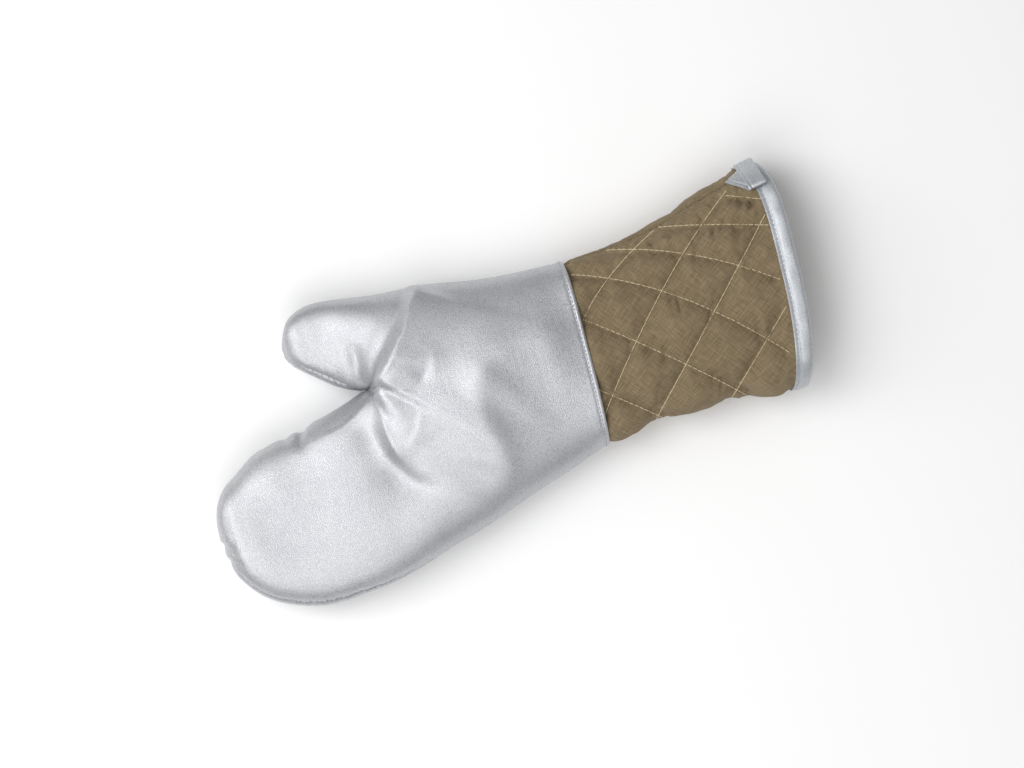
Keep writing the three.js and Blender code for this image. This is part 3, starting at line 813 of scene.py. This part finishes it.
# The hanging loop: rows as in the frame, with lift above the cloth and the turn of its width
loopRows = rowsOf(
    "x y turn lift",
    (186.1, 103.6, 2, 1.2),
    (186.4, 102.4, 2, 1.2),
    (187, 100, 3, 1.5),
    (188, 96.5, 4, 2.4),
    (189.1, 92.5, 6, 3.4),
    (190.3, 88.8, 7, 4.4),
    (191.1, 86.4, 8, 4.6),
    (191.3, 85.6, 9, 4.1),
    (191.2, 85.5, 11, 3.2),
    (190.3, 86.4, 16, 2.4),
    (188.3, 88.8, 28, 1.7),
    (184.8, 91.6, 40, 1.4),
    (180.8, 94, 46, 1.3),
    (176.8, 96.3, 46, 1.3),
)
loop = {
    "width": 12.5, "thickness": 1.0, "stepsPerRow": 8, "across": 30,
    "edgeWide": 0.1, "edgeThin": 0.4, "grooveAt": -0.62, "grooveWide": 0.09, "grooveDeep": 0.9,
}


def onCuffAt(x, y):
    # the place on the cuff's top over a plan point, and which way its cloth faces there
    station = min(x, shape["rim"])
    for _ in range(12):
        row = rowAt(bodyTrack, placesAt(np.array([station])))
        across = float((2 * y - row["little"][0] - row["thumb"][0]) / (row["thumb"][0] - row["little"][0]))
        angle = math.acos(-math.copysign(min(abs(across), 1) ** (shape["topFullness"] / 2), across))
        station = min(station + x - sectionPoints(row, np.array([[angle]]))[0, 0, 0], shape["rim"])

    def at(offX, offAngle):
        row = rowAt(bodyTrack, placesAt(np.array([station + offX])))
        return sectionPoints(row, np.array([[angle + offAngle]]))[0, 0]

    outward = np.cross(at(0, 0) - at(-1, 0), at(0, 0.02) - at(0, -0.02))
    place = at(0, 0)
    place[0] = x
    return place, unit(outward)


def loopPiece():
    rows = trackOf(loopRows, {name: 2 * values[0] - values[1] for name, values in loopRows.items()})
    count = len(loopRows["x"]) - 1
    k = np.linspace(0, count, count * loop["stepsPerRow"] + 1)
    path = rowAt(rows, k)
    centres, widths = [], []
    for x, y, turn, rise in zip(path["x"], path["y"], path["turn"], path["lift"]):
        place, outward = onCuffAt(x, y)
        across = np.array([math.cos(math.radians(turn)), math.sin(math.radians(turn)), 0])
        across -= outward * (across @ outward)
        centres.append(place + outward * rise)
        widths.append(unit(across))
    centres, widths = np.array(centres), np.array(widths)
    ups = unit(np.cross(np.gradient(centres, axis=0), widths))
    profile = []
    half, thick = loop["width"] / 2, loop["thickness"] / 2
    for share in np.linspace(-1, 1, loop["across"] + 1):
        edge = loop["edgeThin"] * math.exp(-(((1 - abs(share)) / loop["edgeWide"]) ** 2))
        groove = loop["grooveDeep"] * math.exp(-(((share - loop["grooveAt"]) / loop["grooveWide"]) ** 2))
        profile.append((share * half, thick * (1 - edge - groove)))
    profile += [(a, -b) for a, b in reversed(profile)]
    profile = np.array(profile)
    points = centres[:, None] + widths[:, None] * profile[:, :1] + ups[:, None] * profile[:, 1:]
    return meshObject("hanging_loop_tape", points.reshape(-1, 3) + shift, tubeFaces(len(k), len(profile)))


pieces["hanging_loop_tape"] = loopPiece()
print("glove: binding and hanging loop made")


# Stitches: each a short thread that dips into the cloth at both ends
def treeOf(name):
    data = pieces[name].data
    return BVHTree.FromPolygons(
        [vertex.co.copy() for vertex in data.vertices], [list(polygon.vertices) for polygon in data.polygons]
    )


def dropOnto(tree, x, y, direction):
    # direction is 1 up from below the cloth and -1 down from above it
    start = Vector(((x + shift[0]) * metre, (y + shift[1]) * metre, -0.1 * direction))
    hit, normal, _, _ = tree.ray_cast(start, Vector((0, 0, direction)))
    return (np.array(hit) / metre - shift, np.array(normal)) if hit is not None else None


stitch = {
    "shares": np.array([0, 0.12, 0.35, 0.65, 0.88, 1]),
    "heights": np.array([-0.45, 0.4, 1, 1, 0.4, -0.45]),
    "thickness": np.array([0.75, 1, 1, 1, 1, 0.75]),
    "sides": 6, "breakOver": 12, "underHem": 2,
}


def stitchMesh(name, runs, radius, length, gap, rise):
    turns = np.linspace(0, 2 * math.pi, stitch["sides"], endpoint=False)[None, :, None]
    tube = [face[::-1] for face in tubeFaces(len(stitch["shares"]), stitch["sides"])]
    points, faces = [], []
    for line, ups in (map(np.array, zip(*run)) for run in runs if len(run) > 1):
        lengths = arcAlong(line)
        start = gap
        while start + length < lengths[-1]:
            wanted = start + stitch["shares"] * length
            up = unit(pointsAt(wanted, lengths, ups))
            middle = pointsAt(wanted, lengths, line) + up * (rise * stitch["heights"])[:, None]
            side = unit(np.cross(np.gradient(middle, axis=0), up))
            spokes = side[:, None] * np.cos(turns) + up[:, None] * np.sin(turns)
            rings = middle[:, None] + radius * stitch["thickness"][:, None, None] * spokes
            faces += [[len(points) + n for n in face] for face in tube]
            points.extend(rings.reshape(-1, 3))
            start += length + gap
    return meshObject(name, np.array(points) + shift, faces, 80)


def quiltRuns(tree, lines, direction, count, end):
    # the stretches of each line that lie on the cloth
    runs = []
    for line in lines:
        run = []
        for x, y in pointsAt(np.linspace(0, len(line) - 1, count), np.arange(len(line)), line):
            found = dropOnto(tree, x, y, direction)
            inside = found and shape["hemEnd"] - stitch["underHem"] < x < end
            if inside and (not run or np.linalg.norm(found[0] - run[-1][0]) < stitch["breakOver"]):
                run.append(found)
            elif run:
                runs.append(run)
                run = []
        if run:
            runs.append(run)
    return runs


def roundRuns(station, depth):
    # rows of stitches round the glove, at a station and a depth
    row = int(np.argmin(np.abs(stations - station)))
    grids = [ids["body", side][row] for side in bothSides]
    return [list(zip(netPoints[grid] + outwards[grid] * depth[grid][:, None], outwards[grid])) for grid in grids]


# Small stitches across the side seams, where the two panels meet
seamStitches = {"columns": (2, -3), "every": 3.4, "start": 4, "offHem": 4}


def seamRuns(name, column):
    front, back = ids[name, "front"][:, column], ids[name, "back"][:, column]
    ends = np.stack([netPoints[n] + outwards[n] * lift[n][:, None] for n in (front, back)], axis=1)
    along = arcAlong(ends[:, 0])
    places = np.arange(seamStitches["start"], along[-1], seamStitches["every"])
    rows = np.unique(np.searchsorted(along, places).clip(0, len(front) - 1))
    if name == "body":
        rows = rows[stations[rows] < shape["hemEnd"] - seamStitches["offHem"]]
    return [[(ends[i, 0], outwards[front[i]]), (ends[i, 1], outwards[back[i]])] for i in rows]


hemDepth = lift - handOuter(netStations)
bindingDepth = np.full(len(netPoints), binding["lap"] - binding["stitchSink"])
frontTree, backTree = treeOf("cuff_front"), treeOf("cuff_back")
steepCount = len(steepLines)
sideRuns = [run for name in cells for column in seamStitches["columns"] for run in seamRuns(name, column)]
# Each with its runs, the thread's radius, a stitch's length, the gap after it and its rise
stitches = {
    "quilt_thread_steep": (quiltRuns(frontTree, frontLines[:steepCount], -1, 140, 215), 0.26, 3.9, 0.2, 0.28),
    "quilt_thread_flat": (quiltRuns(frontTree, frontLines[steepCount:], -1, 140, 215), 0.26, 3.1, 0.6, 0.28),
    "quilt_thread_under": (quiltRuns(backTree, backLines, 1, 300, 192), 0.26, 3.1, 0.6, 0.28),
    "hem_stitches": (roundRuns(shape["hemEnd"] - hem["stitchIn"], hemDepth), 0.27, 2.0, 0.75, 0.22),
    "binding_stitches": (
        roundRuns(shape["bindingStart"] + binding["stitchIn"], bindingDepth), 0.27, 2.1, 0.9, 0.2,
    ),
    "seam_stitches": (sideRuns, 0.24, 2.2, 0.3, 0.25),
}
for name, settings in stitches.items():
    pieces[name] = stitchMesh(name, *settings)
print("glove: stitches made")


# Materials, with patterns in real millimetres unless a note says coarser
bandsPerScale = 3.183  # bands that a wave texture of scale 1 draws over one unit
multiply = {"data_type": "RGBA", "blend_type": "MULTIPLY"}


def linear(hexColour):
    channels = [int(hexColour[n : n + 2], 16) / 255 for n in (1, 3, 5)]
    return [c / 12.92 if c <= 0.04045 else ((c + 0.055) / 1.055) ** 2.4 for c in channels] + [1.0]


def addNode(tree, kind, settings=None, links=None, output=0):
    node = tree.nodes.new("ShaderNode" + kind)
    for name, value in (settings or {}).items():
        if isinstance(name, str) and hasattr(node, name):
            setattr(node, name, value)
        else:
            node.inputs[name].default_value = value
    for name, source in (links or {}).items():
        tree.links.new(source, node.inputs[name])
    return node.outputs[output] if len(node.outputs) else None


def newMaterial(name):
    material = bpy.data.materials.new(name)
    material.use_nodes = True
    material.node_tree.nodes.clear()
    return material, material.node_tree


def setStops(tint, stops):
    elements = tint.node.color_ramp.elements
    while len(elements) < len(stops):
        elements.new(0.5)
    for element, (place, colour) in zip(elements, stops):
        element.position = place
        element.color = linear(colour)


# Metallised leathercloth: a silver foil skin on cloth, embossed with a fine leather grain.
# It gives a soft satin sheen, broad highlights and dark edges where it turns away. The grain
# is drawn coarser than real, so that it shows at this size.
def metallisedLeathercloth(name, settings):
    material, tree = newMaterial(name)
    place = addNode(tree, "TexCoord", output="Object")
    grain = addNode(
        tree, "TexVoronoi", {"feature": "DISTANCE_TO_EDGE", "Scale": 1 / (settings["grainMm"] * metre)},
        {"Vector": place},
    )
    groove = addNode(
        tree, "MapRange", {"interpolation_type": "SMOOTHSTEP", "From Min": 0.0, "From Max": 0.24},
        {"Value": grain},
    )
    fine, cloudy = (
        addNode(tree, "TexNoise", {"Scale": 1 / (size * metre), "Detail": detail}, {"Vector": place})
        for size, detail in ((settings["fineMm"], 3.0), (settings["cloudMm"], 2.0))
    )
    height = addNode(tree, "Math", {"operation": "MULTIPLY_ADD", 1: 0.2}, {0: fine, 2: groove})
    bump = addNode(
        tree, "Bump", {"Strength": settings["grainStrength"], "Distance": settings["grainDeepMm"] * metre},
        {"Height": height},
    )
    tint = addNode(tree, "ValToRGB", links={"Fac": cloudy})
    setStops(tint, [(0.3, settings["dark"]), (0.7, settings["light"])])
    # painted shade: the grooves of the grain are darkened in the colour, as if shade fell in them
    away = addNode(tree, "Math", {"operation": "SUBTRACT", 0: 1.0}, {1: groove})
    withGrooveShade = addNode(tree, "Mix", {**multiply, 7: linear(settings["paintedGrooveShade"])}, {0: away, 6: tint}, 2)
    rough = addNode(
        tree, "MapRange", {"To Min": settings["roughness"] - 0.05, "To Max": settings["roughness"] + 0.07},
        {"Value": cloudy},
    )
    shader = addNode(
        tree, "BsdfPrincipled", {"Metallic": settings["metallic"]},
        {"Base Color": withGrooveShade, "Roughness": rough, "Normal": bump},
    )
    addNode(tree, "OutputMaterial", links={"Surface": shader})
    return material


# both leathercloths carry a painted shade tint in the grooves of their grain
silverSkin = metallisedLeathercloth(
    "metallised_leathercloth",
    {
        "grainMm": 1.05, "fineMm": 0.5, "cloudMm": 30, "grainStrength": 0.52, "grainDeepMm": 0.12,
        "dark": "#C4C5C8", "light": "#CECFD1", "paintedGrooveShade": "#DADBDE", "roughness": 0.37, "metallic": 0.64,
    },
)
silverTape = metallisedLeathercloth(
    "metallised_tape",
    {
        "grainMm": 1.0, "fineMm": 0.4, "cloudMm": 12, "grainStrength": 0.15, "grainDeepMm": 0.08,
        "dark": "#C0C3C6", "light": "#CBCED1", "paintedGrooveShade": "#DADBDE", "roughness": 0.42, "metallic": 0.5,
    },
)


# Plain-weave cotton, treated against flame, with slubs: matt, with fine threads both ways,
# drawn coarser than real
def plainWeave(name, settings):
    material, tree = newMaterial(name)
    flat = addNode(tree, "UVMap", {"uv_map": "clothMetres"})
    turned = addNode(tree, "Mapping", {"Rotation": (0, 0, math.radians(settings["turn"]))}, {"Vector": flat})
    bands = {
        "wave_type": "BANDS", "Scale": 1 / (settings["threadMm"] * metre) / bandsPerScale,
        "Distortion": 1.5, "Detail": 2.0, "Detail Scale": 0.8,
    }
    threads = [
        addNode(tree, "TexWave", {**bands, "bands_direction": direction}, {"Vector": turned}, "Fac")
        for direction in ("X", "Y")
    ]
    weave = addNode(tree, "Math", {"operation": "MULTIPLY"}, {0: threads[0], 1: threads[1]})
    uneven = {"Scale": 1 / (settings["slubMm"] * metre), "Detail": 3.0, "Roughness": 0.6}
    slubs = []
    for stretch in ((1, 0.07, 1), (0.07, 1, 1)):
        stretched = addNode(tree, "Mapping", {"Scale": stretch}, {"Vector": turned})
        slubs.append(addNode(tree, "TexNoise", uneven, {"Vector": stretched}))
    streaks = addNode(tree, "Mix", {0: 0.5}, {2: slubs[0], 3: slubs[1]})
    place = addNode(tree, "TexCoord", output="Object")
    cloudy = addNode(
        tree, "TexNoise", {"Scale": 1 / (settings["cloudMm"] * metre), "Detail": 2.0}, {"Vector": place}
    )
    base = addNode(tree, "ValToRGB", links={"Fac": streaks})
    setStops(base, [(0.36, settings["dark"]), (0.5, settings["middle"]), (0.64, settings["light"])])
    shade = addNode(tree, "ValToRGB", links={"Fac": cloudy})
    setStops(shade, [(0.3, "#D5D0C8"), (0.7, "#FFFFFF")])
    faded = addNode(tree, "Mix", {**multiply, 0: 0.35}, {6: base, 7: shade}, 2)
    # painted shade between the threads: the gaps of the weave are darkened in the colour
    gaps = addNode(
        tree, "MapRange", {"From Min": 0.0, "From Max": 0.45, "To Min": 0.55, "To Max": 0.0}, {"Value": weave}
    )
    woven = addNode(tree, "Mix", {**multiply, 7: linear(settings["shadeBetweenThreads"])}, {0: gaps, 6: faded}, 2)
    height = addNode(tree, "Math", {"operation": "MULTIPLY_ADD", 1: 0.8}, {0: streaks, 2: weave})
    bump = addNode(
        tree, "Bump", {"Strength": 0.5, "Distance": settings["threadMm"] * 0.3 * metre}, {"Height": height}
    )
    shader = addNode(
        tree, "BsdfPrincipled",
        {
            "Roughness": 0.92, "Sheen Weight": 0.15, "Sheen Roughness": 0.5,
            "Sheen Tint": linear("#E8DCC6"), "Specular IOR Level": 0.25,
        },
        {"Base Color": woven, "Normal": bump},
    )
    addNode(tree, "OutputMaterial", links={"Surface": shader})
    return material


cuffCotton = plainWeave(
    "plain_weave_cotton",
    {
        "threadMm": 0.7, "slubMm": 0.8, "cloudMm": 25, "turn": 38,
        "dark": "#786A53", "middle": "#8D7E64", "light": "#A19175", "shadeBetweenThreads": "#C4BBAC",
    },
)


# Spun cotton thread: two plies, matt, with a soft light side
def spunThread(name, colour, shade):
    material, tree = newMaterial(name)
    place = addNode(tree, "TexCoord", output="Object")
    bands = {"wave_type": "BANDS", "bands_direction": "DIAGONAL", "Scale": 1 / (0.5 * metre) / bandsPerScale}
    plies = addNode(tree, "TexWave", {**bands, "Distortion": 0.5}, {"Vector": place}, "Fac")
    # painted shade between the plies: the bands of the twist are darkened towards the shade colour
    tint = addNode(tree, "ValToRGB", links={"Fac": plies})
    setStops(tint, [(0.2, shade), (0.7, colour)])
    bump = addNode(tree, "Bump", {"Strength": 0.4, "Distance": 0.1 * metre}, {"Height": plies})
    shader = addNode(
        tree, "BsdfPrincipled", {"Roughness": 0.8, "Sheen Weight": 0.2}, {"Base Color": tint, "Normal": bump}
    )
    addNode(tree, "OutputMaterial", links={"Surface": shader})
    return material


creamThread = spunThread("spun_cotton_cream", "#E6D9B6", "#CDBE97")
greyThread = spunThread("spun_polyester_grey", "#AEB1BA", "#8C8F98")

# Each piece's finish, slot, the CAD pieces that it stands for and the share that padding fills
finishes = {
    "hand_front": (silverSkin, "coated_cloth", ["hand_front_panel"], 0.45),
    "hand_back": (silverSkin, "coated_cloth", ["hand_back_panel"], 0.45),
    "cuff_front": (cuffCotton, "cuff_cotton", ["cuff_front_panel"], 0.35),
    "cuff_back": (cuffCotton, "cuff_cotton", ["cuff_back_panel"], 0.35),
    "binding_tape": (silverTape, "binding_tape", ["cuff_binding"], None),
    "hanging_loop_tape": (silverTape, "binding_tape", ["hanging_loop"], None),
    "quilt_thread_steep": (creamThread, "cuff_cotton", [], None),
    "quilt_thread_flat": (creamThread, "cuff_cotton", [], None),
    "quilt_thread_under": (creamThread, "cuff_cotton", [], None),
    "hem_stitches": (greyThread, "coated_cloth", [], None),
    "binding_stitches": (greyThread, "binding_tape", [], None),
    "seam_stitches": (greyThread, "coated_cloth", [], None),
}
for name, (material, slotName, nodes, fill) in finishes.items():
    piece = pieces[name]
    piece.data.materials.append(material)
    if nodes:
        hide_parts(*nodes)
    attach(piece, "root")
print("glove: materials set")

# Floor, light and camera
studio = {
    "scalePerPixel": 0.65 * metre, "imageWidth": 1024, "imageCentre": (4.7, 4.4), "lens": 200, "sensor": 36,
    "aimHeight": 0.02, "roll": -15, "worldStrength": 0.37,
}
# Side, rise, distance, size and power, with sides as the camera sees them: 0 is the image's
# right and 90 its top
lights = {
    "key": (165, 63, 1.9, 1.3, 15.5),
    "fill": (-98, 60, 1.8, 1.5, 11),
    "rake": (172, 32, 1.9, 0.9, 4.5),
}


def makeFloor():
    half = 3 / metre
    corners = np.array([(-half, -half, 0), (half, -half, 0), (half, half, 0), (-half, half, 0)])
    floor = meshObject("floor", corners, [(0, 1, 2, 3)])
    material, tree = newMaterial("matt_card")
    shader = addNode(tree, "BsdfPrincipled", {"Base Color": linear("#FFFFFF"), "Roughness": 0.9})
    addNode(tree, "OutputMaterial", links={"Surface": shader})
    floor.data.materials.append(material)
    floor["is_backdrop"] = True


def areaLight(name, side, above, away, size, power):
    data = bpy.data.lights.new(name, "AREA")
    data.shape = "DISK"
    data.size = size
    data.energy = power
    light = addObject(name, data)
    turn, rise = math.radians(side + studio["roll"]), math.radians(above)
    place = Vector((math.cos(turn) * math.cos(rise), math.sin(turn) * math.cos(rise), math.sin(rise)))
    light.location = place * away
    light.rotation_mode = "QUATERNION"
    light.rotation_quaternion = (-place).to_track_quat("-Z", "Y")
    light.visible_camera = False


makeFloor()
for name, settings in lights.items():
    areaLight(name, *settings)
world = bpy.data.worlds.new("studio")
bpy.context.scene.world = world
world.use_nodes = True
background = world.node_tree.nodes["Background"]
background.inputs["Color"].default_value = linear("#FFFFFF")
background.inputs["Strength"].default_value = studio["worldStrength"]
bpy.context.scene.view_settings.view_transform = "Standard"

camera = addObject("camera", bpy.data.cameras.new("camera"))
camera.data.lens = studio["lens"]
camera.data.sensor_width = studio["sensor"]
wide = studio["imageWidth"] * studio["scalePerPixel"]
distance = wide * studio["lens"] / studio["sensor"]
centre = (np.array(studio["imageCentre"]) + shift[:2]) * metre
camera.location = (centre[0], centre[1], studio["aimHeight"] + distance)
camera.rotation_euler = (0, 0, math.radians(studio["roll"]))
camera.data.clip_end = 20
bpy.context.scene.camera = camera

low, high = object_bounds()
print("glove: visual box", [round(v, 4) for v in (*low, *high)])
